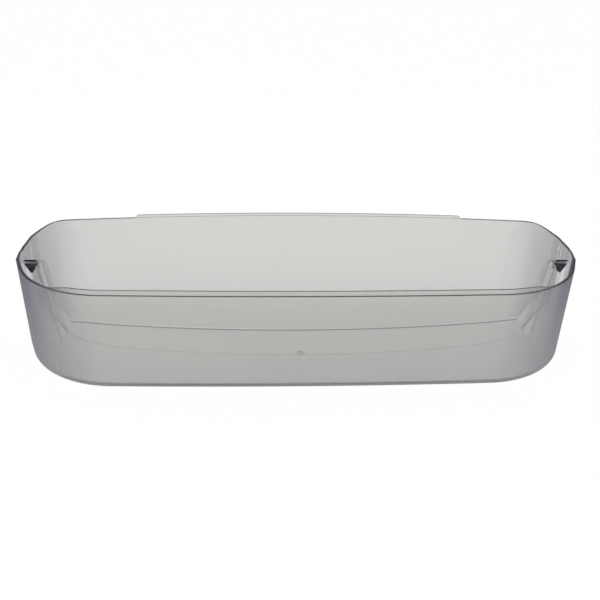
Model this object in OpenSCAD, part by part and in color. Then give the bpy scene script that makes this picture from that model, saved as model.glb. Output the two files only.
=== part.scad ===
// Refrigerator door shelf, one injection moulding in clear tinted plastic.
// X runs along the shelf, Y from the front wall to the door side, Z up.
// The origin is under the middle of the shelf, on the plane that it stands on.

/* [Body] */
// Width over the two creases, where the front ends meet the narrower rear
shelf_w = 450; // [400:1:520]
// Depth from the front wall at mid width to the creases
front_depth = 67.5; // [64:0.5:84]
// Depth from the creases to the back wall's outer face at mid width, at the base
rear_depth = 22.5; // [20:0.5:32]
// Height of the front wall and its corners
front_h = 80; // [72:1:84]
// Height of the end walls behind the creases
end_h = 85; // [81:1:96]
// Height of the back wall at mid width, its top lip included
back_h = 108; // [104:1:140]
// Thickness of the walls
wall = 2.4; // [1.8:0.1:3]
// Thickness of the floor under the front part of the tray
floor_t = 2.6; // [2:0.1:4]
// Outward lean of every wall that draws from the mould, in degrees
draft = 0.3; // [0:0.1:0.6]

/* [Front] */
// Turn of the front wall between mid width and the start of a corner, in degrees
front_turn = 1.8; // [1:0.1:4]
// Radius of the front corners
corner_r = 80; // [60:1:88]
// Angle between the front and the short flared end panels, in degrees
flare = 66; // [60:1:72]
// Height of the thin lip on the front wall
front_lip_h = 4; // [2:0.5:8]
// Thickness of the thin lips on the front and back walls
lip_t = 1.3; // [0.8:0.1:1.5]
// Length of one sloping end of the front lip
front_lip_run = 12; // [6:1:24]
// Inset of the front lip's ends from the creases
front_lip_inset = 45; // [36:1:60]

/* [Rear] */
// Step inward from each crease to the narrower rear
crease_step = 2.5; // [1.5:0.1:4]
// Radius of the rounded creases
crease_r = 7.5; // [6:0.5:12]
// Radius of the hollow behind each crease
crease_foot_r = 3; // [1:0.5:6]
// Length of the ramp from the front rim up to the end walls behind the creases
end_run = 7; // [3:0.5:12]
// Radius of the rear corners
rear_r = 16; // [12:0.5:20]
// Radius of the back wall, which bows towards the front
back_r = 1190; // [1100:10:2400]
// Lean of the back wall towards the door, in degrees
back_lean = 3.5; // [0:0.5:5]
// Radius of the back wall's crowned top edge
crown_r = 1850; // [1700:10:4000]
// Inset of the back wall's shoulders from the creases
shoulder_inset = 32; // [28:1:60]
// Radius of the shoulders
shoulder_r = 60; // [40:1:70]
// Slope of the shoulders down to the end walls, in degrees
shoulder_slope = 26; // [20:1:40]
// Height of the thin lip along the middle of the back wall
back_lip_h = 2.6; // [1.5:0.1:6]
// Inset of the back lip's ends from the creases
back_lip_inset = 90; // [70:1:140]

/* [Base] */
// Radius of the outer edge round the base
base_r = 4; // [2:0.5:6]
// Radius inside the tray between floor and walls
floor_r = 2.5; // [1:0.5:3]
// Depth of the crescent that thins the rear of the floor
crescent_step = 0.6; // [0.3:0.1:1]
// Distance from the front wall to the crescent's edge at mid width
crescent_y = 46; // [38:1:55]
// Radius of the crescent's edge
crescent_r = 830; // [700:10:2000]
// Radius of the crescent's corners
crescent_corner_r = 100; // [70:1:120]
// Inset of those corners from the creases
crescent_inset = 75; // [60:1:100]
// Diameter of the dimple round the moulding gate
gate_d = 7; // [4:0.5:10]
// Diameter of the gate stub in the dimple
gate_stub_d = 2; // [1:0.5:3]
// Depth of the gate dimple
gate_depth = 0.8; // [0.4:0.1:1.2]
// Distance from the crescent's edge to the gate
gate_back = 3.4; // [0:0.1:12]
// Distance that each lower rear corner is cut back at the base, from the rear end walls
relief_inset = 19; // [14:0.5:22]
// Height at which that slope runs out into the end wall
relief_h = 29.5; // [20:0.5:40]

/* [Guides] */
// Height of the roof of each guide channel at its front
guide_h = 74; // [54:1:76]
// Slope of the roof down towards the door, in degrees
guide_slope = 24; // [0:1:30]
// Depth of a channel at its roof, in from the rear end walls
guide_depth = 10; // [8:0.5:14]
// Depth of a channel at its foot
guide_foot_depth = 20.5; // [16:0.5:24]
// Width of a channel at its roof
guide_w = 16; // [12:0.5:18]
// Width that a channel gains at its foot, towards the front
guide_foot_gain = 1.5; // [0:0.5:3]
// Distance from the crease to a channel's roof
guide_y = 4.5; // [3.5:0.5:8]
// Wall round the channels
guide_wall = 2; // [1.5:0.1:2.4]
// Length of the hook under a channel's roof, back from the front of the channel
catch_w = 5; // [3:0.5:8]
// Height of the hook
catch_h = 9; // [5:1:14]
// Width of the hook's blunt tip
catch_tip = 1.5; // [1:0.5:4]

/* [Smoothness] */
// Segments along half of the front wall
front_steps = 8; // [4:1:12]
// Segments round a front corner
corner_steps = 12; // [6:1:18]
// Segments round either half of a crease
crease_steps = 3; // [2:1:6]
// Segments round a rear corner
rear_steps = 6; // [3:1:8]
// Segments along the back wall
back_steps = 22; // [12:2:32]
// Segments round the fillets at the base
base_steps = 3; // [2:1:5]

/* [Hidden] */

// Overrun of cutting shapes past the faces that they cut
over = 1;
half_w = shelf_w / 2;
rear_x = half_w - crease_step;

// The S-shaped step behind a crease
crease_turn = acos(1 - crease_step / (crease_r + crease_foot_r));
crease_run = (crease_r + crease_foot_r) * sin(crease_turn);

// Where the crowned top edge ends and the shoulder starts
shoulder_x = half_w - shoulder_inset;
crown_turn = asin(shoulder_x / crown_r);
shoulder_centre = [shoulder_x - shoulder_r * sin(crown_turn),
    back_h - back_lip_h - crown_r + (crown_r - shoulder_r) * cos(crown_turn)];
shoulder_foot = shoulder_centre + shoulder_r * [sin(shoulder_slope), cos(shoulder_slope)];

// How far behind mid width the centres of the rear corners lie, and how high the wall is there
rear_centre_x = rear_x - rear_r;
rear_centre_back = back_r - sqrt(pow(back_r + rear_r, 2) - pow(rear_centre_x, 2));
rear_top = rear_centre_x > shoulder_foot.x
    ? shoulder_foot.y - (rear_centre_x - shoulder_foot.x) * tan(shoulder_slope)
    : shoulder_centre.y + sqrt(pow(shoulder_r, 2) - pow(rear_centre_x - shoulder_centre.x, 2));

// The origin lies in the middle of the overall depth, which ends at the top of the rear corners
whole_depth = front_depth + rear_depth + rear_centre_back + rear_r
    + rear_top * tan(back_lean) + (rear_top - front_h) * tan(draft);
front_y = -whole_depth / 2;
crease_y = front_y + front_depth;
back_y = crease_y + rear_depth;
top_z = back_h + over;
// A plane in front of the back wall and behind the front wall
split_y = crease_y + crease_run + over;

// Where the bowed front wall ends and the corner starts
bow_share = tan(front_turn / 2);
front_x = (half_w - crease_r * (1 - sin(flare)) - corner_r * (sin(flare) - sin(front_turn))
    - (front_depth - crease_r * cos(flare) - corner_r * (cos(front_turn) - cos(flare))) / tan(flare))
    / (1 - bow_share / tan(flare));
front_r = front_x / sin(front_turn);
corner_x = front_x - corner_r * sin(front_turn);
corner_y = front_y + front_x * bow_share + corner_r * cos(front_turn);

// Where the floor's crescent turns from its long edge into its corners
crescent_x = half_w - crescent_inset;
crescent_turn = asin(crescent_x / crescent_r);
crescent_front_y = front_y + crescent_y;

// The guide channels, and how far they widen for each millimetre down from the roof
guide_near_y = crease_y + guide_y;
guide_far_y = guide_near_y + guide_w;
guide_lead = (guide_foot_depth - guide_depth) / guide_h;
guide_gain = guide_foot_gain / guide_h;

// The lower rear corners, cut back behind the channels
relief_x = rear_x - relief_inset;
relief_y = guide_far_y + guide_wall;
relief_wall = wall * norm([relief_inset, relief_h]) / relief_h;

// Points along an arc, from one angle to another
function arc(centre, r, from, to, steps) =
    [for (i = [0:steps]) let (a = from + (to - from) * i / steps)
        [centre.x + r * cos(a), centre.y + r * sin(a)]];

// A list without its first point, for an arc that carries on from another
function after_first(points) = [for (i = [1:len(points) - 1]) points[i]];

// The same points on the other side of the middle plane, in the opposite order
function mirrored(points) = [for (i = [len(points) - 1:-1:0]) [-points[i].x, points[i].y]];

// Inward normal of the edge from one point to the next, for a ring that runs anticlockwise
function inward(from, to) = let (d = (to - from) / norm(to - from)) [-d.y, d.x];

// A ring moved inward by the same distance all round
function inset(ring, d) =
    let (n = len(ring))
    [for (i = [0:n - 1])
        let (before = inward(ring[(i + n - 1) % n], ring[i]), next = inward(ring[i], ring[(i + 1) % n]))
        ring[i] + d * (before + next) / (1 + before * next)];

// Right-hand side of the plan from mid width at the front to the rear corner
function right_side(shift) =
    let (
        rear_centre_y = back_y + shift + rear_centre_back,
        turn = atan2(back_r - rear_centre_back, -rear_centre_x)
    )
    concat(
        arc([0, front_y + front_r], front_r, -90, -90 + front_turn, front_steps),
        after_first(arc([corner_x, corner_y], corner_r, -90 + front_turn, -90 + flare, corner_steps)),
        arc([half_w - crease_r, crease_y], crease_r, -90 + flare, 0, crease_steps),
        after_first(arc([half_w - crease_r, crease_y], crease_r, 0, crease_turn, crease_steps)),
        after_first(arc([rear_x + crease_foot_r, crease_y + crease_run], crease_foot_r, 180 + crease_turn, 180,
            crease_steps)),
        arc([rear_centre_x, rear_centre_y], rear_r, 0, 90, rear_steps),
        [arc([rear_centre_x, rear_centre_y], rear_r, 90, turn, 1)[1]]
    );

// Plan of the outer face at the rim, with its back wall moved towards the door by shift
function plan(shift) =
    let (
        right = right_side(shift),
        reach = asin(right[len(right) - 1].x / back_r),
        back = arc([0, back_y + shift + back_r], back_r, -90 + reach, -90 - reach, back_steps)
    )
    concat(right, [for (i = [1:back_steps - 1]) back[i]], mirrored(after_first(right)));

// One ring of the body at height z, inset from the plan
function body_ring(z, d) =
    [for (p = inset(plan(z * tan(back_lean)), d + (front_h - z) * tan(draft))) [p.x, p.y, z]];

// Rings of a body that stands on z, with a fillet of radius r round its foot
function body_rings(z, r, d) = concat(
    [for (i = [0:base_steps]) let (a = 90 * i / base_steps)
        body_ring(z + r * (1 - cos(a)), d + r * (1 - sin(a)))],
    [body_ring(top_z, d)]);

// Solid through rings of points that match one to one
module loft(rings) {
    n = len(rings[0]);
    last = len(rings) - 1;
    sides = [for (r = [0:last - 1], i = [0:n - 1])
        let (j = (i + 1) % n, a = r * n)
        each [[a + i, a + i + n, a + j + n], [a + i, a + j + n, a + j]]];
    foot = [for (i = [0:n - 1]) i];
    head = [for (i = [n - 1:-1:0]) last * n + i];
    polyhedron([for (ring = rings) each ring], concat([foot], sides, [head]));
}

// The body as a solid block, inset from its outer face by d
module block(d) {
    loft(body_rings(0, base_r, d));
}

// The space inside the tray, down to z
module tray_space(z) {
    loft(body_rings(z, floor_r, wall));
}

// A band across the shelf, behind y, with a top edge given in X and Z
module behind(y, top) {
    translate([0, y + shelf_w, 0])
        rotate([90, 0, 0])
            linear_extrude(shelf_w)
                polygon(top);
}

// Crowned top edge at a height z over mid width, out to x on either side
function crown(z, x, steps) =
    arc([0, z - crown_r], crown_r, 90 - asin(x / crown_r), 90 + asin(x / crown_r), steps);

// Top of the back wall below its lip, with its two shoulders
function shoulder_line() =
    let (
        bend = arc(shoulder_centre, shoulder_r, 90 - shoulder_slope, 90 - crown_turn, rear_steps),
        foot_x = shoulder_foot.x + shoulder_foot.y / tan(shoulder_slope)
    )
    concat([[foot_x, 0]], bend, after_first(crown(back_h - back_lip_h, shoulder_x, back_steps)),
        after_first(mirrored(bend)), [[-foot_x, 0]]);

// Outline in X and Z of the back wall's lip, which stands on the wall below it
function back_lip_line() =
    let (x = half_w - back_lip_inset, top = crown(back_h, x, back_steps))
    concat([[x, front_h]], top, [[-x, front_h]]);

// Outline in X and Z of the front wall's lip, with its sloping ends
function front_lip_line() =
    let (
        foot = half_w - front_lip_inset,
        head = foot - front_lip_run,
        root = front_h - floor_r,
        top = front_h + front_lip_h
    )
    [[foot, root], [foot, front_h], [head, top], [-head, top], [-foot, front_h], [-foot, root]];

// Everything below the rim of the front and of the end walls, with the ramps behind the creases
module below_rim() {
    translate([-shelf_w, 0, 0])
        rotate([90, 0, 90])
            linear_extrude(2 * shelf_w)
                polygon([[-shelf_w, 0], [shelf_w, 0], [shelf_w, end_h], [crease_y + end_run, end_h],
                    [crease_y, front_h], [-shelf_w, front_h]]);
}

// Main walls and floor, cut off at the rim in front and at the shoulders behind
module walls() {
    intersection() {
        difference() {
            block(0);
            tray_space(floor_t);
        }
        union() {
            below_rim();
            behind(split_y, shoulder_line());
        }
    }
}

// Thin lips that carry on upward from the inner half of the front and back walls
module lips() {
    intersection() {
        difference() {
            block(wall - lip_t);
            tray_space(floor_t);
        }
        union() {
            behind(split_y, back_lip_line());
            behind(split_y - over - shelf_w, front_lip_line());
        }
    }
}

// Floor area of the crescent, behind its long edge and its two corners
module crescent_area() {
    edge = arc([0, crescent_front_y + crescent_r], crescent_r, -90, -90 + crescent_turn, front_steps);
    end = edge[front_steps];
    centre = [end.x - crescent_corner_r * sin(crescent_turn), end.y + crescent_corner_r * cos(crescent_turn)];
    corner = arc(centre, crescent_corner_r, -90 + crescent_turn, 0, corner_steps);
    right = concat(edge, after_first(corner), [[centre.x + crescent_corner_r, centre.y + shelf_w]]);
    polygon(concat(right, mirrored(after_first(right))));
}

module crescent_cut() {
    intersection() {
        tray_space(floor_t - crescent_step);
        linear_extrude(floor_t + floor_r)
            crescent_area();
    }
}

// Depth and front of a guide channel on the right at height z, grown by g on the sides that face the tray
function guide_inner(z, g) = rear_x - guide_depth - (guide_h - z) * guide_lead - g;
function guide_near(z, g) = guide_near_y - (guide_h - z) * guide_gain - g;

// Ring round a channel, at one height in front and another behind
function guide_ring(near_z, far_z, g) = [
    [guide_inner(near_z, g), guide_near(near_z, g), near_z],
    [half_w + over, guide_near(near_z, g), near_z],
    [half_w + over, guide_far_y + g, far_z],
    [guide_inner(far_z, g), guide_far_y + g, far_z]];

// Guide channel on the right, from below the base up to its sloping roof
module guide_space(g) {
    top = guide_h + g / cos(guide_slope);
    fall = tan(guide_slope);
    loft([guide_ring(-over, -over, g), guide_ring(top + g * fall, top - (guide_w + g) * fall, g)]);
}

// Hook in the channel, a wedge under the front of its roof
module guide_catch() {
    inner = rear_x - guide_depth - guide_wall / 2;
    outer = rear_x - wall / 2;
    tip = (inner + outer) / 2;
    root = guide_h - (catch_w - guide_wall) * tan(guide_slope);
    translate([0, guide_near_y + catch_w, 0])
        rotate([90, 0, 0])
            linear_extrude(catch_w + guide_wall / 2)
                polygon([[inner, root + guide_wall / 2], [outer, root + guide_wall / 2], [outer, root],
                    [tip + catch_tip / 2, guide_h - catch_h], [tip - catch_tip / 2, guide_h - catch_h],
                    [inner, root]]);
}

// Outline in X and Z drawn towards the door, from behind a channel past the back wall
module behind_channel(outline) {
    translate([0, relief_y + shelf_w, 0])
        rotate([90, 0, 0])
            linear_extrude(shelf_w)
                polygon(outline);
}

// Sloping wall that closes the tray where the lower rear corner is cut back
module relief_slope() {
    behind_channel([[relief_x - relief_wall, 0], [relief_x, 0],
        [relief_x + 2 * relief_inset, 2 * relief_h], [relief_x - relief_wall + 2 * relief_inset, 2 * relief_h]]);
}

// What is cut away below that wall
module relief_space() {
    behind_channel([[relief_x, 0], [relief_x, -over], [relief_x + 2 * relief_inset, -over],
        [relief_x + 2 * relief_inset, 2 * relief_h]]);
}

// Both hands of a feature that is drawn on the right
module both_ends() {
    children();
    mirror([1, 0, 0])
        children();
}

// Dimple under the floor with the stub of the gate in it
module gate() {
    translate([0, crescent_front_y + gate_back, -over])
        difference() {
            cylinder(h = over + gate_depth, d = gate_d, $fn = 48);
            cylinder(h = over + gate_depth, d = gate_stub_d, $fn = 32);
        }
}

module gate_cut() {
    intersection() {
        gate();
        translate([-gate_d, crescent_front_y + gate_back - gate_d, 0])
            cube([2 * gate_d, 2 * gate_d, gate_depth]);
    }
}

module door_shelf() {
    color([0.72, 0.72, 0.71, 0.6])
        difference() {
            union() {
                difference() {
                    union() {
                        difference() {
                            walls();
                            crescent_cut();
                        }
                        lips();
                        intersection() {
                            block(0);
                            both_ends() {
                                guide_space(guide_wall);
                                relief_slope();
                            }
                        }
                    }
                    both_ends() {
                        guide_space(0);
                        relief_space();
                    }
                }
                both_ends()
                    guide_catch();
            }
            gate_cut();
        }
}

door_shelf();
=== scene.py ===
"""Fridge door shelf: one clear smoky-grey moulding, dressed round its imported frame.

The shelf's shape is worked out here from the same sizes as its solid model, with the fine edges that a mould
leaves: rounded rims, the ledge under each thin lip, and the soft edges of the guide channels.
"""

import math

import bmesh
import bpy
import numpy as np
from mathutils import Matrix, Vector


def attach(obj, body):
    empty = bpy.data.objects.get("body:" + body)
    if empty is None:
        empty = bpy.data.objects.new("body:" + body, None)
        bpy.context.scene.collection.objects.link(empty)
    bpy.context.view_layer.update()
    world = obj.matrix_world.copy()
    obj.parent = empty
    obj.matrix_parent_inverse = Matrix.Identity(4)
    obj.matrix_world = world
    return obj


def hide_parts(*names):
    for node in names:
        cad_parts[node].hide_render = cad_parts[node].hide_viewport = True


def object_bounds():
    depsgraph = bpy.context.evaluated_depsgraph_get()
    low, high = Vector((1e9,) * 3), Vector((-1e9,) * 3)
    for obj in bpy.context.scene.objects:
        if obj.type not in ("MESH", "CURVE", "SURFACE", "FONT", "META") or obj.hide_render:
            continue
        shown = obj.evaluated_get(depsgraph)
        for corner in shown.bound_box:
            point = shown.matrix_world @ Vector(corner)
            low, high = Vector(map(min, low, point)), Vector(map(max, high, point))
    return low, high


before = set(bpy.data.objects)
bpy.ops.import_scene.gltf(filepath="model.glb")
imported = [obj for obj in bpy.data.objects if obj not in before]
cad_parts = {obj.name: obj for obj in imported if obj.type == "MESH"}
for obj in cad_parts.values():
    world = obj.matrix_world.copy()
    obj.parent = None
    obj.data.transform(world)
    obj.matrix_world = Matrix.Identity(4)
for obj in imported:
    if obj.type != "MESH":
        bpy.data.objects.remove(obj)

cad_low, cad_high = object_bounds()

MM = 0.001

# Overall sizes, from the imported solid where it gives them
HALF_W = (cad_high.x - cad_low.x) / 2
FRONT_Y = cad_low.y
BACK_H = cad_high.z

# Body
FRONT_DEPTH = 67.5 * MM
REAR_DEPTH = 22.5 * MM
FRONT_H = 80 * MM
END_H = 85 * MM
WALL = 2.4 * MM
FLOOR_T = 2.6 * MM
DRAFT = math.tan(math.radians(0.3))

# Front wall and its corners
FRONT_TURN = math.radians(1.8)
CORNER_R = 80 * MM
FLARE = math.radians(66)

# Front lip, whose ends run out longer than the solid's and reach full height at the same place
FRONT_LIP_H = 4 * MM
LIP_T = 1.3 * MM
LIP_FOOT_R = 0.3 * MM
FRONT_LIP_RUN = 23 * MM
FRONT_LIP_INSET = 34 * MM

# Narrower rear, with the back wall and its lip
CREASE_STEP = 2.5 * MM
CREASE_R = 7.5 * MM
CREASE_FOOT_R = 3 * MM
END_RUN = 7 * MM
END_BLEND = 1.5 * MM
REAR_R = 16 * MM
BACK_R = 1190 * MM
BACK_LEAN = math.tan(math.radians(3.5))
CROWN_R = 1850 * MM
SHOULDER_INSET = 32 * MM
SHOULDER_R = 60 * MM
SHOULDER_SLOPE = math.radians(26)
BACK_LIP_H = 2.6 * MM
BACK_LIP_INSET = 90 * MM
BACK_LIP_RUN = 1 * MM

# Base, and the crescent that thins the rear of the floor
BASE_R = 4 * MM
FLOOR_R = 2.5 * MM
CRESCENT_STEP = 0.6 * MM
CRESCENT_BEVEL = 0.4 * MM
CRESCENT_EDGE_W = 1.1 * MM
CRESCENT_Y = 46 * MM
CRESCENT_R = 830 * MM
CRESCENT_CORNER_R = 100 * MM
CRESCENT_INSET = 75 * MM

# Gate mark: a dimple with a sloping edge, round a tapered stub that ends short of the base
GATE_D = 7 * MM
GATE_STUB_D = 2 * MM
GATE_DEPTH = 0.8 * MM
GATE_BACK = 3.4 * MM
GATE_BEVEL = 0.3 * MM
GATE_BEVEL_START = 0.6
GATE_STUB_TAPER = 0.2 * MM
GATE_STUB_END = 0.3
GATE_STEPS = 48

# Relief at each lower rear corner, and the strip that draws its line on the back wall
RELIEF_INSET = 19 * MM
RELIEF_H = 29.5 * MM
RELIEF_EDGE_W = 0.7 * MM
RELIEF_STRIP = 1.5 * RELIEF_EDGE_W

# Guide channels
GUIDE_H = 74 * MM
GUIDE_SLOPE = math.tan(math.radians(24))
GUIDE_DEPTH = 10 * MM
GUIDE_FOOT_DEPTH = 20.5 * MM
GUIDE_W = 16 * MM
GUIDE_FOOT_GAIN = 1.5 * MM
GUIDE_Y = 4.5 * MM
GUIDE_WALL = 2 * MM
GUIDE_EDGE_R = 1.6 * MM
CATCH_W = 5 * MM
CATCH_H = 9 * MM
CATCH_TIP = 1.5 * MM

# Edges and mesh density
EDGE_R = 0.5 * MM
OVER = 1 * MM
ARC_STEPS = 7
RIM_STEPS = ARC_STEPS - 3
LIP_FOOT_STEPS = 2
BEVEL_STEPS = 3
BEVEL_PROFILE = 0.5
MERGE = 0.005 * MM
RING_STEP = 1.5 * MM
TURN_STEP = math.radians(2.5)
SHARP_TURN = math.radians(28)
AREA_WEIGHT = 100

# Places that follow from the sizes
CREASE_Y = FRONT_Y + FRONT_DEPTH
BACK_Y = CREASE_Y + REAR_DEPTH
REAR_X = HALF_W - CREASE_STEP
CREASE_TURN = math.acos(1 - CREASE_STEP / (CREASE_R + CREASE_FOOT_R))
CREASE_RUN = (CREASE_R + CREASE_FOOT_R) * math.sin(CREASE_TURN)
SPLIT_Y = CREASE_Y + CREASE_RUN + OVER
GUIDE_NEAR_Y = CREASE_Y + GUIDE_Y
GUIDE_FAR_Y = GUIDE_NEAR_Y + GUIDE_W
CATCH_X = REAR_X - GUIDE_DEPTH - GUIDE_WALL / 2
RELIEF_X = REAR_X - RELIEF_INSET
RELIEF_WALL = WALL * math.hypot(RELIEF_INSET, RELIEF_H) / RELIEF_H
GATE_Y = FRONT_Y + CRESCENT_Y + GATE_BACK

# Tints of the clear plastic: plain wall, darker towards its foot as painted shade; thin channel walls,
# lighter partly for their thinness and partly as painted light; and fine dark lines of painted shade
SMOKE_GREY = (0.86, 0.85, 0.825, 1)
SMOKE_LOW_SHADE = (0.79, 0.783, 0.768, 1)
SMOKE_THIN_AND_LIT = (0.97, 0.96, 0.94, 1)
SMOKE_EDGE_SHADE = (0.10, 0.10, 0.13, 1)
SMOKE_BODY = (0.80, 0.80, 0.82, 1)
SMOKE_DENSITY = 120.0
PLASTIC_CLEAR = 0.97
PLASTIC_IOR = 1.5
THIN_SHARE = 0.75

# Tints of the plastic where it looks deep, partly from its longer path through the tint and partly painted
# shade: seen slantwise above and below, a painted grey tone, and painted shade in hooks and dark rims
SMOKE_DEEP_SHADE = (0.18, 0.18, 0.21, 1)
SMOKE_DEEP_SHADE_LOW = (0.28, 0.28, 0.30, 1)
SMOKE_PAINTED_GREY = (0.40, 0.395, 0.385, 1)
SMOKE_DARK_SHADE = (0.008, 0.010, 0.025, 1)
PAINTED_GREY_SHARE = 0.65
SLANT_START = 0.1
SLANT_END = 0.8

# The back wall towards its rear corners: a wide painted shade, and then a clearer copy of the plastic with a
# painted grey tone, painted light and shade where the corner bends the light
SHADE_RUN = 120 * MM
SHADE_SHARE = 0.45
CORNER_RUN = 2.5 * REAR_R
CORNER_PAINTED_CLEAR = 0.9
CORNER_PAINTED_GREY = 0.56

# Surface of the plastic: flow waves, fine grain and gloss
WAVE_SCALE = 28.0
WAVE_ROUGHNESS = 0.5
GRAIN_SCALE = 900.0
GRAIN_ROUGHNESS = 0.6
NOISE_DETAIL = 2.0
GRAIN_HEIGHT = 0.03
RIPPLE_STRENGTH = 0.1
RIPPLE_DEPTH = 0.3 * MM
CLEAR_ROUGHNESS = 0.012
CLEAR_GRAIN = 0.02
DEEP_ROUGHNESS = 0.3
DEEP_GRAIN = 0.1

# Which faces are marked, by how far they look up, from -1 to 1
RIM_UP = 0.35
UPRIGHT = 0.3
LEVEL = 0.99
FILLET_UP = (0.6, 0.995)
FILLET_BAND = (0.1 * MM, 0.6 * MM)
STUB_UP = 0.9
FOOT_UP = (-0.98, -0.02)

# How strongly they are marked
# Fine dark lines of painted shade
RIM_LINE = 0.9
CRESCENT_LINE = 0.35
STUB_LINE = 0.5
# The channel's near wall: a clearer copy, partly painted light, and a painted grey tone
NEAR_WALL_THIN = 0.5
NEAR_WALL_PAINTED_GREY = 0.15
# Painted shade on the rims towards their ends
RIM_DARK = 0.8
RIM_DARK_X = 160 * MM
RIM_DARK_RUN = 45 * MM

# Studio: lengths in metres, power in watts
WHITE = (1, 1, 1, 1)
FLOOR_WHITE = (0.9, 0.9, 0.9, 1)
FLOOR_HALF = 4
FLOOR_DROP = 0.2 * MM
FLOOR_GLOW_SEEN = 0.97
FLOOR_GLOW_THROUGH = 0.85
FLOOR_DIM_THROUGH = 0.18
SURROUND_LIGHT = 0.88
LAMP_SIZE = 0.9
LAMP_AIM = Vector((0, 0, 0.04))
LAMPS = (("key", (-0.5, -0.7, 1.1), 4.0), ("fill", (0.9, -0.4, 0.8), 2.0))

# The camera that took the photograph, in pixels of its 600 by 600 frame and in metres
FRAME_PX = 600
FOCAL_PX = 686.2
PITCH = math.radians(28.01)
YAW = math.radians(-3.22)
ROLL = math.radians(1.35)
EYE = Vector((-28.5, -491.5, 309.2)) * MM
SENSOR_W_MM = 36
CLIP_START = 10 * MM


def arc(centre, r, start, end):
    """Points and inward normals along an arc; a negative radius bends away from the inside."""
    sweep = end - start
    steps = max(2, math.ceil(abs(sweep) / TURN_STEP), math.ceil(abs(r * sweep) / RING_STEP))
    angles = np.linspace(start, end, steps + 1)
    way = np.stack([np.cos(angles), np.sin(angles)], 1)
    return np.asarray(centre) + abs(r) * way, -way * np.sign(r)


def straight(start, end):
    """Points and inward normals along a straight edge of a ring that runs anticlockwise."""
    start, end = np.asarray(start, float), np.asarray(end, float)
    length = np.linalg.norm(end - start)
    steps = max(1, math.ceil(length / RING_STEP))
    way = (end - start) / length
    t = np.linspace(0, 1, steps + 1)[:, None]
    return start + t * (end - start), np.tile([-way[1], way[0]], (steps + 1, 1))


def right_path():
    """Right half of the plan, from mid width in front to mid width behind: points, normals, share of lean."""
    bow = math.tan(FRONT_TURN / 2)
    reach = CORNER_R * (math.sin(FLARE) - math.sin(FRONT_TURN)) + CREASE_R * (1 - math.sin(FLARE))
    rise = CORNER_R * (math.cos(FRONT_TURN) - math.cos(FLARE)) + CREASE_R * math.cos(FLARE)
    front_x = (HALF_W - reach - (FRONT_DEPTH - rise) / math.tan(FLARE)) / (1 - bow / math.tan(FLARE))
    front_r = front_x / math.sin(FRONT_TURN)
    corner = np.array([
        front_x - CORNER_R * math.sin(FRONT_TURN),
        FRONT_Y + front_x * bow + CORNER_R * math.cos(FRONT_TURN),
    ])
    down = -math.pi / 2
    rear_x = REAR_X - REAR_R
    rear_back = BACK_R - math.sqrt((BACK_R + REAR_R) ** 2 - rear_x**2)
    rear = np.array([rear_x, BACK_Y + rear_back])
    turn = math.atan2(BACK_R - rear_back, -rear_x)
    crease = np.array([HALF_W - CREASE_R, CREASE_Y])
    foot = np.array([REAR_X + CREASE_FOOT_R, CREASE_Y + CREASE_RUN])

    pieces = [arc([0, FRONT_Y + front_r], front_r, down, down + FRONT_TURN)]
    pieces.append(arc(corner, CORNER_R, down + FRONT_TURN, down + FLARE))
    round_crease = arc(crease, CREASE_R, down + FLARE, CREASE_TURN)
    pieces.append(straight(pieces[-1][0][-1], round_crease[0][0]))
    pieces.append(round_crease)
    pieces.append(arc(foot, -CREASE_FOOT_R, math.pi + CREASE_TURN, math.pi))
    front_count = sum(len(p) - 1 for p, _ in pieces)
    rear_side = straight([REAR_X, foot[1]], [REAR_X, rear[1]])
    pieces.append(rear_side)
    pieces.append(arc(rear, REAR_R, 0, turn))
    pieces.append(arc([0, BACK_Y + BACK_R], -BACK_R, turn - math.pi, down))

    points = np.concatenate([p[:-1] for p, _ in pieces] + [pieces[-1][0][-1:]])
    normals = np.concatenate([n[:-1] for _, n in pieces] + [pieces[-1][1][-1:]])
    lean = np.clip((points[:, 1] - foot[1]) / (rear[1] - foot[1]), 0, 1)
    lean[:front_count] = 0
    lean[front_count + len(rear_side[0]) - 1:] = 1
    return points, normals, lean


def plan():
    """The whole plan as a closed ring that runs anticlockwise from mid width in front."""
    points, normals, lean = right_path()
    other = np.array([-1, 1])
    return (
        np.concatenate([points, (points * other)[-2:0:-1]]),
        np.concatenate([normals, (normals * other)[-2:0:-1]]),
        np.concatenate([lean, lean[-2:0:-1]]),
    )


def soft_max(a, b, width):
    """The larger of two heights, with a fillet where they cross."""
    h = np.clip(0.5 + (a - b) / (2 * width), 0, 1)
    return b + (a - b) * h + width * h * (1 - h)


def smooth(t):
    """Rises from 0 to 1 as t does, with level ends."""
    t = np.clip(t, 0, 1)
    return t * t * (3 - 2 * t)


def rim(points):
    """Height of the main rim, and of the thin lip on it, over each point of the plan."""
    x = np.abs(points[:, 0])
    behind = points[:, 1] > SPLIT_Y
    shoulder_x = HALF_W - SHOULDER_INSET
    turn = math.asin(shoulder_x / CROWN_R)
    top = BACK_H - BACK_LIP_H - CROWN_R
    centre_x = shoulder_x - SHOULDER_R * math.sin(turn)
    centre_z = top + (CROWN_R - SHOULDER_R) * math.cos(turn)
    foot_x = centre_x + SHOULDER_R * math.sin(SHOULDER_SLOPE)
    foot_z = centre_z + SHOULDER_R * math.cos(SHOULDER_SLOPE)
    crown = top + np.sqrt(CROWN_R**2 - x**2)
    bend = centre_z + np.sqrt(np.maximum(SHOULDER_R**2 - (x - centre_x) ** 2, 0))
    slope = foot_z - (x - foot_x) * math.tan(SHOULDER_SLOPE)
    back = np.where(x < shoulder_x, crown, np.where(x < foot_x, bend, slope))
    end = FRONT_H + (END_H - FRONT_H) * smooth((points[:, 1] - CREASE_Y) / END_RUN)
    height = np.where(behind, soft_max(back, end, END_BLEND), end)
    front_lip = FRONT_LIP_H * smooth((HALF_W - FRONT_LIP_INSET - x) / FRONT_LIP_RUN)
    back_lip = BACK_LIP_H * smooth((HALF_W - BACK_LIP_INSET - x) / BACK_LIP_RUN)
    return height, np.where(behind, back_lip, front_lip)


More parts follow.
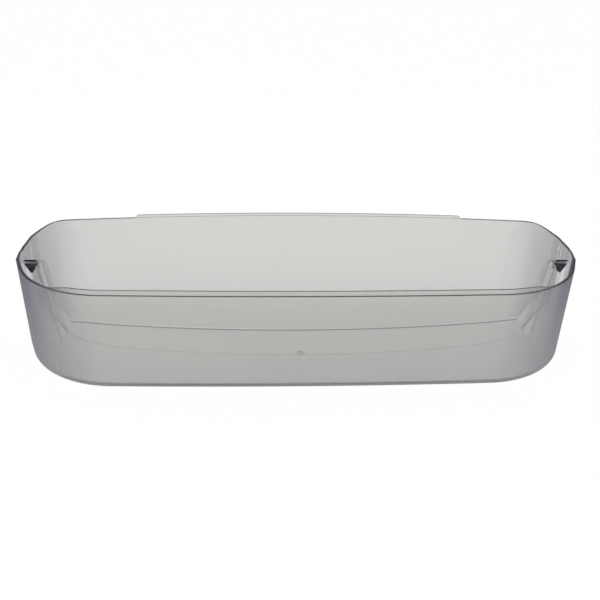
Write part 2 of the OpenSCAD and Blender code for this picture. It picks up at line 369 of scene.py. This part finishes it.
def quarter(centre_d, centre_z, r, start, end, steps):
    """Arc in the wall's section for every point of the plan: insets and heights."""
    angles = np.linspace(start, end, steps + 1)
    r = np.asarray(r, float) * np.ones(len(centre_z))
    return (
        np.asarray(centre_d)[:, None] + r[:, None] * np.cos(angles),
        np.asarray(centre_z)[:, None] + r[:, None] * np.sin(angles),
    )


def relief_line(x, y):
    """Height at which the relief's slope meets the inside of the back wall, or 0 further forward."""
    start = RELIEF_X - RELIEF_WALL
    return np.where(y > GUIDE_FAR_Y, (np.abs(x) - start) * RELIEF_H / RELIEF_INSET, 0)


def wall_section(height, lip, floor, relief):
    """Insets and heights of the wall's section, from under the base over the rim to the floor of the tray."""
    one = np.ones(len(height))
    half = math.pi / 2
    lip_r = np.minimum(LIP_T / 2, lip)
    inner_r = EDGE_R + (LIP_T / 2 - EDGE_R) * np.clip(lip / (LIP_T / 2), 0, 1)
    lip_face = (WALL - LIP_T) * one
    foot_r = np.minimum(LIP_FOOT_R, lip / 2)
    strip_z = np.maximum(relief - RELIEF_EDGE_W / 2, floor + FLOOR_R + EDGE_R)
    strip = np.full((len(height), 2), WALL), np.stack([strip_z + RELIEF_STRIP, strip_z], 1)
    parts = [
        quarter(BASE_R * one, BASE_R * one, BASE_R, -half, -math.pi, ARC_STEPS),
        quarter(EDGE_R * one, height - EDGE_R, EDGE_R, math.pi, half, RIM_STEPS),
        quarter(lip_face - foot_r, height + foot_r, foot_r, -half, 0, LIP_FOOT_STEPS),
        quarter(lip_face + lip_r, height + lip - lip_r, lip_r, math.pi, half, RIM_STEPS),
        quarter(WALL - inner_r, height + lip - inner_r, inner_r, half, 0, RIM_STEPS),
        strip,
        quarter((WALL + FLOOR_R) * one, floor + FLOOR_R, FLOOR_R, math.pi, math.pi + half, ARC_STEPS),
    ]
    return np.concatenate([d for d, _ in parts], 1), np.concatenate([z for _, z in parts], 1)


def place(points, normals, lean, d, z):
    """Points of the shell for insets d and heights z along the plan."""
    inset = d + (FRONT_H - z) * DRAFT
    x = points[:, 0, None] + inset * normals[:, 0, None]
    y = points[:, 1, None] + inset * normals[:, 1, None] + z * BACK_LEAN * lean[:, None]
    return np.stack([x, y, z], -1)


def crescent_line(offset):
    """Right half of the line where the floor gets thinner, from mid width outward, moved back by offset."""
    front_y = FRONT_Y + CRESCENT_Y
    reach = HALF_W - CRESCENT_INSET
    turn = math.asin(reach / CRESCENT_R)
    down = -math.pi / 2
    long_edge, normal = arc([0, front_y + CRESCENT_R], CRESCENT_R, down, down + turn)
    end = long_edge[-1]
    centre = end + CRESCENT_CORNER_R * np.array([-math.sin(turn), math.cos(turn)])
    corner, corner_normal = arc(centre, CRESCENT_CORNER_R, down + turn, 0)
    return np.concatenate([long_edge, corner[1:]]) + offset * np.concatenate([normal, corner_normal[1:]])


def in_crescent(points):
    """Which points of the floor lie behind the crescent's line."""
    line = crescent_line(0)
    x = np.abs(points[:, 0])
    return (x < line[-1, 0]) & (points[:, 1] > np.interp(x, line[:, 0], line[:, 1]))


def new_object(name, mesh):
    obj = bpy.data.objects.new(name, mesh)
    bpy.context.scene.collection.objects.link(obj)
    return obj


def mesh_object(name, verts, faces):
    mesh = bpy.data.meshes.new(name)
    mesh.from_pydata([tuple(v) for v in verts], [], faces)
    mesh.validate()
    mesh.update()
    return new_object(name, mesh)


def shell():
    """The moulding without its guide channels: walls, rims, lips and stepped floor, as one closed mesh."""
    points, normals, lean = plan()
    height, lip = rim(points)
    n = len(points)
    level = np.full(n, FLOOR_T)
    inner = place(points, normals, lean, np.full((n, 1), WALL + FLOOR_R), level[:, None])[:, 0, :2]
    thin = in_crescent(inner)
    level[thin] -= CRESCENT_STEP
    inside = place(points, normals, lean, np.full((n, 1), WALL), np.full((n, 1), RELIEF_H / 2))[:, 0]
    d, z = wall_section(height, lip, level, relief_line(inside[:, 0], inside[:, 1]))
    grid = place(points, normals, lean, d, z)
    rows = grid.shape[1]
    verts = list(grid.reshape(-1, 3))

    def at(i, k):
        return (i % n) * rows + k

    faces = [
        (at(i, k), at(i + 1, k), at(i + 1, k + 1), at(i, k + 1))
        for i in range(n)
        for k in range(rows - 1)
    ]
    faces.append([at(i, 0) for i in range(n - 1, -1, -1)])

    first, last = np.flatnonzero(thin)[[0, -1]]
    back = inner[first:last + 1][::-1]
    line = crescent_line(CRESCENT_BEVEL)
    within = line[:, 1] < np.interp(line[:, 0], back[:, 0], back[:, 1]) - CRESCENT_BEVEL
    rim_side, upper, lower = [], [], []
    for offset, z_line, ids in (
        (-CRESCENT_EDGE_W, FLOOR_T, rim_side),
        (0, FLOOR_T, upper),
        (CRESCENT_BEVEL, FLOOR_T - CRESCENT_STEP, lower),
    ):
        half = crescent_line(offset)[within]
        whole = np.concatenate([(half * [-1, 1])[:0:-1], half])
        for x, y in whole:
            ids.append(len(verts))
            verts.append(np.array([x, y, z_line]))
    end_row = rows - 1
    ends = at(last + 1, end_row), at(first - 1, end_row)
    faces.append([at(i, end_row) for i in [*range(last + 1, n), *range(first)]] + rim_side[::-1])
    faces += [
        (rim_side[i], rim_side[i + 1], upper[i + 1], upper[i])
        for i in range(len(upper) - 1)
    ]
    faces.append((ends[0], rim_side[0], upper[0]))
    faces.append((rim_side[-1], ends[1], upper[-1]))
    upper = [ends[0], *upper, ends[1]]
    lower = [at(last, end_row), *lower, at(first, end_row)]
    faces.append([at(i, end_row) for i in range(first, last + 1)] + lower[1:-1])
    faces += [
        (upper[i], upper[i + 1], lower[i + 1], lower[i])
        for i in range(len(upper) - 1)
    ]
    made = mesh_object("door_shelf_shell", verts, faces)
    merge(made)
    return made


def block():
    """The body's outer shape as a solid block, up past the rim."""
    points, normals, lean = plan()
    one = np.ones(len(points))
    d, z = quarter(BASE_R * one, BASE_R * one, BASE_R, -math.pi / 2, -math.pi, ARC_STEPS)
    d = np.column_stack([d, 0 * one])
    z = np.column_stack([z, BACK_H * one])
    grid = place(points, normals, lean, d, z)
    return lofted("block", [grid[:, k] for k in range(grid.shape[1])])


def merge(obj):
    """Joins points that coincide, where a lip or a fillet has run out to nothing."""
    bm = bmesh.new()
    bm.from_mesh(obj.data)
    bmesh.ops.remove_doubles(bm, verts=bm.verts, dist=MERGE)
    bmesh.ops.dissolve_degenerate(bm, edges=bm.edges, dist=MERGE)
    flat = [face for face in bm.faces if len(face.verts) > 4]
    bmesh.ops.triangulate(bm, faces=flat, ngon_method="BEAUTY")
    bm.to_mesh(obj.data)
    bm.free()


def rounded_ring(x0, x1, y0, y1, r):
    """Corners of a rectangle, each rounded to r."""
    quarter_turn = math.pi / 2
    corners = (x1 - r, y0 + r), (x1 - r, y1 - r), (x0 + r, y1 - r), (x0 + r, y0 + r)
    ring = []
    for start, (cx, cy) in enumerate(corners, start=-1):
        for a in np.linspace(start * quarter_turn, (start + 1) * quarter_turn, ARC_STEPS):
            ring.append((cx + r * math.cos(a), cy + r * math.sin(a)))
    return ring


def lofted(name, rings):
    """Closed solid through rings of points that match one to one, from the lowest up."""
    n = len(rings[0])
    faces = [
        (r * n + i, r * n + (i + 1) % n, (r + 1) * n + (i + 1) % n, (r + 1) * n + i)
        for r in range(len(rings) - 1)
        for i in range(n)
    ]
    faces.append(list(range(n - 1, -1, -1)))
    faces.append(list(range((len(rings) - 1) * n, len(rings) * n)))
    return mesh_object(name, np.concatenate(rings), faces)


def guide(name, grow, foot, outer_x, r):
    """Solid of the right-hand guide channel with its sloping roof, grown by grow where it faces the tray."""
    lead = (GUIDE_FOOT_DEPTH - GUIDE_DEPTH) / GUIDE_H
    gain = GUIDE_FOOT_GAIN / GUIDE_H
    top = GUIDE_H + grow * math.hypot(1, GUIDE_SLOPE)
    levels = [(foot, 0, 0)]
    for a in np.linspace(0, math.pi / 2, ARC_STEPS):
        levels.append((top - r * (1 - math.sin(a)), r * (1 - math.cos(a)), GUIDE_SLOPE))
    rings = []
    for near_z, pull, slope in levels:
        x0 = REAR_X - GUIDE_DEPTH - lead * (GUIDE_H - near_z) - grow + pull
        y0 = GUIDE_NEAR_Y - gain * (GUIDE_H - near_z) - grow + pull
        ring = np.array(rounded_ring(x0, outer_x, y0, GUIDE_FAR_Y + grow - pull, r))
        fall = (ring[:, 1] - GUIDE_NEAR_Y) * slope
        ring[:, 0] -= lead * fall * (outer_x - ring[:, 0]) / (outer_x - x0)
        rings.append(np.column_stack([ring, near_z - fall]))
    return lofted(name, rings)


def prism(name, outline, y0, y1, bevel):
    """Solid of an outline in X and Z, drawn from y0 to y1, with its edges eased."""
    mesh = bpy.data.meshes.new(name)
    bm = bmesh.new()
    face = bm.faces.new([bm.verts.new((x, y0, z)) for x, z in outline])
    made = bmesh.ops.extrude_face_region(bm, geom=[face])
    moved = [v for v in made["geom"] if isinstance(v, bmesh.types.BMVert)]
    bmesh.ops.translate(bm, verts=moved, vec=(0, y1 - y0, 0))
    bmesh.ops.recalc_face_normals(bm, faces=bm.faces)
    if bevel:
        bmesh.ops.bevel(bm, geom=list(bm.edges), offset=bevel, segments=BEVEL_STEPS, affect="EDGES",
                        profile=BEVEL_PROFILE)
    bm.to_mesh(mesh)
    bm.free()
    return new_object(name, mesh)


def catch():
    """Hook under the front of the right-hand channel's roof, which clicks over the door's boss."""
    outer = REAR_X - WALL / 2
    tip = (CATCH_X + outer) / 2
    root = GUIDE_H - (CATCH_W - GUIDE_WALL) * GUIDE_SLOPE
    outline = [
        (CATCH_X, root + GUIDE_WALL / 2),
        (outer, root + GUIDE_WALL / 2),
        (outer, root),
        (tip + CATCH_TIP / 2, GUIDE_H - CATCH_H),
        (tip - CATCH_TIP / 2, GUIDE_H - CATCH_H),
        (CATCH_X, root),
    ]
    return prism("catch", outline, GUIDE_NEAR_Y - GUIDE_WALL / 2, GUIDE_NEAR_Y + CATCH_W, EDGE_R / 2)


def relief_prism(name, outline):
    """Solid of an outline that runs back from behind the channel, past the back wall."""
    return prism(name, outline, GUIDE_FAR_Y + GUIDE_WALL, BACK_Y + FRONT_DEPTH, 0)


def relief_slope():
    """Sloping wall that closes the tray where the right-hand lower rear corner is cut back."""
    far, top = RELIEF_X + 2 * RELIEF_INSET, 2 * RELIEF_H
    outline = [(RELIEF_X - RELIEF_WALL, 0), (RELIEF_X, 0), (far, top), (far - RELIEF_WALL, top)]
    slope = relief_prism("relief_slope", outline)
    combine(slope, block(), "INTERSECT")
    return slope


def relief_space():
    """What is cut away below that wall."""
    far, top = RELIEF_X + 2 * RELIEF_INSET, 2 * RELIEF_H
    return relief_prism("relief_space", [(RELIEF_X, 0), (RELIEF_X, -OVER), (far, -OVER), (far, top)])


def gate():
    """Dimple under the floor round the stub that the mould's gate leaves."""
    turns = np.linspace(0, 2 * math.pi, GATE_STEPS, endpoint=False)
    rings = []
    for r, z in (
        (GATE_D / 2, -OVER),
        (GATE_D / 2, GATE_DEPTH * GATE_BEVEL_START),
        (GATE_D / 2 - GATE_BEVEL, GATE_DEPTH),
        (GATE_STUB_D / 2 + GATE_STUB_TAPER, GATE_DEPTH),
        (GATE_STUB_D / 2, GATE_DEPTH * GATE_STUB_END),
    ):
        rings.append(np.column_stack([r * np.cos(turns), GATE_Y + r * np.sin(turns), np.full_like(turns, z)]))
    return lofted("gate", rings)


class Tree:
    """A node tree, with one way to add any node."""

    def __init__(self, group):
        self.nodes = group.nodes
        self.links = group.links
        self.nodes.clear()

    def node(self, kind, settings=None, out=0, **sockets):
        """Adds a node, sets it up, feeds its sockets by name, and returns one output if it has any."""
        made = self.nodes.new(kind)
        for key, value in (settings or {}).items():
            setattr(made, key, value)
        for key, value in sockets.items():
            self.feed(made, key.replace("_", " "), value)
        return Value(self, made.outputs[out]) if made.outputs else made

    def feed(self, made, name, value):
        """Links or sets one socket of a node, given by its name, or by n and its number."""
        numbered = name[0] == "n" and name[1:].isdigit()
        socket = made.inputs[int(name[1:]) if numbered else name]
        if isinstance(value, Value):
            self.links.new(value.socket, socket)
        else:
            socket.default_value = value

    def math(self, operation, a, b=0.0):
        return self.node("ShaderNodeMath", {"operation": operation}, n0=a, n1=b)

    def larger(self, a, b):
        return self.math("MAXIMUM", a, b)

    def blend(self, share, a, b):
        """Colour a, turning into colour b as share goes from 0 to 1."""
        return self.node("ShaderNodeMix", {"data_type": "RGBA"}, out=2, n0=share, n6=a, n7=b)

    def ramp(self, value, start, end, top=1.0):
        """Rises smoothly from 0 to top as value goes from start to end."""
        return self.node("ShaderNodeMapRange", {"interpolation_type": "SMOOTHSTEP"}, Value=value,
                         From_Min=start, From_Max=end, To_Min=0.0, To_Max=top)

    def mark(self, name):
        """The share that mark_faces gave each face."""
        return self.node("ShaderNodeAttribute", {"attribute_name": name}, out=2)

    def ray(self, kind):
        """1 for a ray of this kind, and 0 for any other."""
        return self.node("ShaderNodeLightPath", out=f"Is {kind} Ray")


class Value:
    """A socket that takes part in ordinary arithmetic."""

    def __init__(self, tree, socket):
        self.tree = tree
        self.socket = socket

    def __add__(self, other):
        return self.tree.math("ADD", self, other)

    def __rsub__(self, other):
        return self.tree.math("SUBTRACT", other, self)

    def __mul__(self, other):
        return self.tree.math("MULTIPLY", self, other)

    __radd__ = __add__
    __rmul__ = __mul__


def both_hands_tree(plastic):
    """Geometry Nodes that set a mirrored left-hand copy beside a right-hand shape."""
    group = bpy.data.node_groups.new("both_hands", "GeometryNodeTree")
    group.interface.new_socket("Right hand", in_out="INPUT", socket_type="NodeSocketGeometry")
    group.interface.new_socket("Mirror scale", in_out="INPUT", socket_type="NodeSocketVector")
    group.interface.new_socket("Both hands", in_out="OUTPUT", socket_type="NodeSocketGeometry")
    tree = Tree(group)
    right = tree.node("NodeGroupInput")
    mirror_scale = tree.node("NodeGroupInput", out=1)
    turned = tree.node("GeometryNodeTransform", Geometry=right, Scale=mirror_scale)
    left = tree.node("GeometryNodeFlipFaces", Mesh=turned)
    pair = tree.node("GeometryNodeJoinGeometry", Geometry=left)
    tree.feed(pair.socket.node, "Geometry", right)
    real = tree.node("GeometryNodeRealizeInstances", Geometry=pair)
    done = tree.node("GeometryNodeSetMaterial", Geometry=real, Material=plastic)
    tree.node("NodeGroupOutput", Both_hands=done)
    return group


def set_input(modifier, name, value):
    """Sets a modifier's input by the identifier of the socket with that name."""
    for socket in modifier.node_group.interface.items_tree:
        if socket.name == name:
            modifier[socket.identifier] = value


def plain_mesh(obj):
    """Turns what an object's one modifier makes into its own mesh, and takes the modifier off."""
    graph = bpy.context.evaluated_depsgraph_get()
    mesh = bpy.data.meshes.new_from_object(obj.evaluated_get(graph))
    obj.modifiers.clear()
    old = obj.data
    obj.data = mesh
    bpy.data.meshes.remove(old)
    mesh.name = obj.name


def combine(base, tool, operation):
    """Joins a tool shape to the base, cuts it away or keeps what they share, and deletes the tool."""
    modifier = base.modifiers.new("combine", "BOOLEAN")
    modifier.operation = operation
    modifier.solver = "MANIFOLD"
    modifier.object = tool
    plain_mesh(base)
    tool_mesh = tool.data
    bpy.data.objects.remove(tool)
    bpy.data.meshes.remove(tool_mesh)


def shelf(plastic):
    """The whole moulding, with both guide channels, their catches, the reliefs and the gate mark."""
    base = shell()
    both_hands = both_hands_tree(plastic)
    for right, operation in (
        (guide("channel_wall", GUIDE_WALL, FLOOR_T / 2, REAR_X - WALL / 2, GUIDE_EDGE_R), "UNION"),
        (relief_slope(), "UNION"),
        (guide("channel", 0, -OVER, HALF_W + 3 * OVER, GUIDE_EDGE_R / 2), "DIFFERENCE"),
        (relief_space(), "DIFFERENCE"),
        (catch(), "UNION"),
    ):
        mirror = right.modifiers.new("both_hands", "NODES")
        mirror.node_group = both_hands
        set_input(mirror, "Mirror scale", (-1, 1, 1))
        plain_mesh(right)
        combine(base, right, operation)
    combine(base, gate(), "DIFFERENCE")
    base.name = "door_shelf_moulding"
    base.data.name = base.name
    return base


def clear_plastic():
    """Clear smoky-grey plastic with faint flow waves and painted shade: dark lines, hooks and rims, a darker
    foot and rear corners, and darker where seen slantwise, there partly from its longer path.
    """
    material = bpy.data.materials.new("clear_smoky_plastic")
    material.use_nodes = True
    tree = Tree(material.node_tree)
    spot = tree.node("ShaderNodeTexCoord", out="Object")
    along = tree.math("ABSOLUTE", tree.node("ShaderNodeSeparateXYZ", out="X", Vector=spot))
    height = tree.node("ShaderNodeSeparateXYZ", out="Z", Vector=spot)
    waves = tree.node("ShaderNodeTexNoise", Vector=spot, Scale=WAVE_SCALE, Detail=NOISE_DETAIL,
                      Roughness=WAVE_ROUGHNESS)
    grain = tree.node("ShaderNodeTexNoise", Vector=spot, Scale=GRAIN_SCALE, Detail=NOISE_DETAIL,
                      Roughness=GRAIN_ROUGHNESS)
    ripple = tree.node("ShaderNodeBump", Strength=RIPPLE_STRENGTH, Distance=RIPPLE_DEPTH,
                       Height=waves + GRAIN_HEIGHT * grain)

    # Painted shade, near black, on the hooks and the rims towards the ends
    dark = tree.mark("dark")
    behind = tree.mark("behind")
    # Painted shade and light on the back wall towards its rear corners: a clearer copy with a painted grey
    # tone near the corner, and a wide painted shade further along
    corner = behind * tree.ramp(along, REAR_X - CORNER_RUN, REAR_X)
    thin = tree.larger(tree.mark("thin"), CORNER_PAINTED_CLEAR * corner)
    painted_grey = tree.larger(tree.mark("painted_grey"), CORNER_PAINTED_GREY * corner)
    shade = behind * tree.ramp(along, REAR_X - SHADE_RUN, REAR_X - REAR_R, SHADE_SHARE)
    # Painted shade: the wall gets darker towards its foot
    low = tree.node("ShaderNodeMapRange", Value=height, From_Min=0.0, From_Max=FRONT_H,
                    To_Min=1.0, To_Max=0.0)
    # Darker where seen slantwise on the flanks: partly the longer path through the tint, partly painted shade
    slant = tree.ramp(tree.node("ShaderNodeLayerWeight", out="Facing", Blend=0.5), SLANT_START, SLANT_END)

    wall = tree.blend(tree.larger(low, shade), SMOKE_GREY, SMOKE_LOW_SHADE)
    # Lighter and clearer on thin walls, partly painted light, and dark on the fine lines of painted shade
    clear = tree.node(
        "ShaderNodeBsdfPrincipled",
        Base_Color=tree.blend(tree.mark("edge"), tree.blend(thin, wall, SMOKE_THIN_AND_LIT), SMOKE_EDGE_SHADE),
        Roughness=CLEAR_ROUGHNESS + CLEAR_GRAIN * grain,
        IOR=PLASTIC_IOR,
        Transmission_Weight=PLASTIC_CLEAR,
        Alpha=1 - THIN_SHARE * thin,
        Normal=ripple,
    )
    deep_shade_tint = tree.blend(painted_grey, tree.blend(low, SMOKE_DEEP_SHADE, SMOKE_DEEP_SHADE_LOW), SMOKE_PAINTED_GREY)
    deep_shade = tree.node(
        "ShaderNodeBsdfPrincipled",
        Base_Color=tree.blend(dark, deep_shade_tint, SMOKE_DARK_SHADE),
        Roughness=DEEP_ROUGHNESS + DEEP_GRAIN * grain,
        IOR=PLASTIC_IOR,
        Specular_IOR_Level=0.0,
        Normal=ripple,
    )
    share = tree.larger(slant * tree.mark("flank"), tree.larger(dark, PAINTED_GREY_SHARE * painted_grey))
    surface = tree.node("ShaderNodeMixShader", n0=share, n1=clear, n2=deep_shade)
    smoke = tree.node("ShaderNodeVolumeAbsorption", Color=SMOKE_BODY, Density=SMOKE_DENSITY)
    tree.node("ShaderNodeOutputMaterial", Surface=surface, Volume=smoke)
    return material


def between(values, low, high):
    return (values > low) & (values < high)


def face_places(obj):
    """Centre of each face, with X the same on both sides, and how far the face looks up."""
    faces = obj.data.polygons
    centre = np.empty(3 * len(faces))
    normal = np.empty(3 * len(faces))
    faces.foreach_get("center", centre)
    faces.foreach_get("normal", normal)
    return np.abs(centre[0::3]), centre[1::3], centre[2::3], normal[2::3]


def mark_faces(obj):
    """Marks, face by face, the painted shade and light that the plastic shows: fine dark lines, dark hooks
    and rims, thin walls made lighter, a grey tone, flank or back wall.
    """
    x, y, z, up = face_places(obj)
    upright = np.abs(up) < UPRIGHT

    rims = (up > RIM_UP) & (z > FRONT_H - EDGE_R)
    over_floor = z - FLOOR_T + CRESCENT_STEP * (y > BACK_Y - REAR_DEPTH / 2)
    floor_line = between(up, *FILLET_UP) & between(over_floor, *FILLET_BAND) & (y > CREASE_Y)
    relief_edge = upright & (y > GUIDE_FAR_Y) & between(z - relief_line(x, y), 0, RELIEF_EDGE_W)
    line = crescent_line(-CRESCENT_EDGE_W / 2)
    off_line = np.min(np.hypot(x[:, None] - line[:, 0], y[:, None] - line[:, 1]), axis=1)
    crescent = (up > LEVEL) & (np.abs(z - FLOOR_T) < MERGE) & (off_line < RING_STEP)
    stub = (np.abs(up) < STUB_UP) & (z < GATE_DEPTH) & (x < GATE_D) & (np.abs(y - GATE_Y) < GATE_D)
    # Fine dark lines, painted shade where the rims, the floor's fillet, the crescent, the relief and the gate
    # stub bend the light
    edge = np.maximum.reduce([
        RIM_LINE * rims,
        floor_line,
        relief_edge,
        CRESCENT_LINE * crescent,
        STUB_LINE * stub,
    ])

    # Hooks and the channel roof's front edge, and the rims towards the ends, get painted shade, near black
    over_catch = between(x, CATCH_X - EDGE_R, REAR_X - WALL)
    hooks = over_catch & between(y, GUIDE_NEAR_Y - EDGE_R, GUIDE_NEAR_Y + CATCH_W + EDGE_R)
    hooks &= between(z, GUIDE_H - CATCH_H - EDGE_R, GUIDE_H - EDGE_R)
    roof_edge = over_catch & (np.abs(y - GUIDE_NEAR_Y) < GUIDE_WALL)
    roof_edge &= between(z, GUIDE_H - EDGE_R, GUIDE_H + 2 * GUIDE_WALL)
    hooks |= roof_edge
    dark = np.maximum(hooks, RIM_DARK * rims * smooth((x - RIM_DARK_X) / RIM_DARK_RUN))

    channel = between(x, REAR_X - GUIDE_FOOT_DEPTH - 2 * GUIDE_WALL, REAR_X - WALL)
    channel &= between(y, GUIDE_NEAR_Y - 2 * GUIDE_WALL, GUIDE_FAR_Y + GUIDE_WALL + EDGE_R)
    channel &= between(z, FLOOR_T + EDGE_R, GUIDE_H + 2 * GUIDE_WALL)
    near_wall = channel & (y < GUIDE_NEAR_Y + EDGE_R)
    # Channel walls get a lighter, clearer copy of the plastic: partly for their thinness, partly painted
    # light
    thin = (channel & ~hooks) * np.where(near_wall, NEAR_WALL_THIN, 1)

    feet = between(up, *FOOT_UP) & (z < BASE_R) & (y < CREASE_Y)
    behind = (y > CREASE_Y) & upright & ~channel & ~hooks & ~relief_edge
    flank = upright & (y < CREASE_Y + CREASE_RUN) & (z > BASE_R / 2) & ~behind
    # The base's front fillet and the channel's near wall get a painted grey tone, standing in for light and
    # shade seen in the plastic
    painted_grey = np.maximum(feet, NEAR_WALL_PAINTED_GREY * near_wall)

    marks = {"edge": edge, "dark": dark, "thin": thin, "painted_grey": painted_grey, "flank": flank, "behind": behind}
    for name, share in marks.items():
        layer = obj.data.attributes.new(name, "FLOAT", "FACE")
        layer.data.foreach_set("value", share.astype(np.float32))


def even_shading(obj):
    """Gives each broad face its own flat shading up to the fillets round it."""
    modifier = obj.modifiers.new("normals", "WEIGHTED_NORMAL")
    modifier.mode = "FACE_AREA"
    modifier.weight = AREA_WEIGHT
    modifier.keep_sharp = True
    plain_mesh(obj)


def studio_floor():
    """Pale floor that looks white to the camera and through the plastic."""
    h = FLOOR_HALF
    floor = mesh_object("floor", [(-h, -h, 0), (h, -h, 0), (h, h, 0), (-h, h, 0)], [(0, 1, 2, 3)])
    floor.data.transform(Matrix.Translation((0, 0, cad_low.z - FLOOR_DROP)))
    material = bpy.data.materials.new("floor_white")
    material.use_nodes = True
    tree = Tree(material.node_tree)
    through = tree.larger(tree.ray("Transmission"), tree.ray("Glossy"))
    seen = tree.larger(FLOOR_GLOW_SEEN * tree.ray("Camera"), FLOOR_GLOW_THROUGH * through)
    diffuse = tree.node("ShaderNodeBsdfDiffuse", Color=FLOOR_WHITE)
    glow = tree.node("ShaderNodeEmission", Color=WHITE, Strength=1 - FLOOR_DIM_THROUGH * through)
    surface = tree.node("ShaderNodeMixShader", n0=seen, n1=diffuse, n2=glow)
    tree.node("ShaderNodeOutputMaterial", Surface=surface)
    floor.data.materials.append(material)


def surround():
    """White surround, a little dimmer as a light than it looks."""
    world = bpy.data.worlds.new("studio")
    bpy.context.scene.world = world
    world.use_nodes = True
    tree = Tree(world.node_tree)
    through = tree.larger(tree.ray("Transmission"), tree.ray("Glossy"))
    seen = tree.larger(tree.ray("Camera"), through)
    light = tree.node("ShaderNodeBackground", Color=WHITE, Strength=SURROUND_LIGHT)
    white = tree.node("ShaderNodeBackground", Color=WHITE, Strength=1.0)
    surface = tree.node("ShaderNodeMixShader", n0=seen, n1=light, n2=white)
    tree.node("ShaderNodeOutputWorld", Surface=surface)


def lamps():
    """Two large soft lamps, aimed at the shelf."""
    for name, spot, watts in LAMPS:
        lamp = bpy.data.lights.new(name, "AREA")
        lamp.size = LAMP_SIZE
        lamp.energy = watts
        obj = new_object(name, lamp)
        obj.location = spot
        obj.rotation_euler = (LAMP_AIM - Vector(spot)).to_track_quat("-Z", "Y").to_euler()


def photo_camera():
    """Camera that sees the shelf as the photograph does."""
    camera_data = bpy.data.cameras.new("camera")
    camera_data.sensor_width = SENSOR_W_MM
    camera_data.lens = FOCAL_PX / FRAME_PX * SENSOR_W_MM
    camera_data.clip_start = CLIP_START
    camera_data.dof.use_dof = False
    camera = new_object("camera", camera_data)
    camera.location = EYE
    turn = Matrix.Rotation(YAW, 3, "Z") @ Matrix.Rotation(math.pi / 2 - PITCH, 3, "X")
    camera.rotation_euler = (turn @ Matrix.Rotation(ROLL, 3, "Z")).to_euler()
    bpy.context.scene.camera = camera
    bpy.context.scene.view_settings.view_transform = "Standard"


plastic = clear_plastic()
moulding = shelf(plastic)
moulding.data.materials.clear()
moulding.data.materials.append(plastic)
for polygon in moulding.data.polygons:
    polygon.use_smooth = True
moulding.data.set_sharp_from_angle(angle=SHARP_TURN)
mark_faces(moulding)
even_shading(moulding)
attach(moulding, "root")
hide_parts("door_shelf")
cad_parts["door_shelf"].data.materials.clear()
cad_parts["door_shelf"].data.materials.append(moulding.data.materials[0])

studio_floor()
surround()
lamps()
photo_camera()
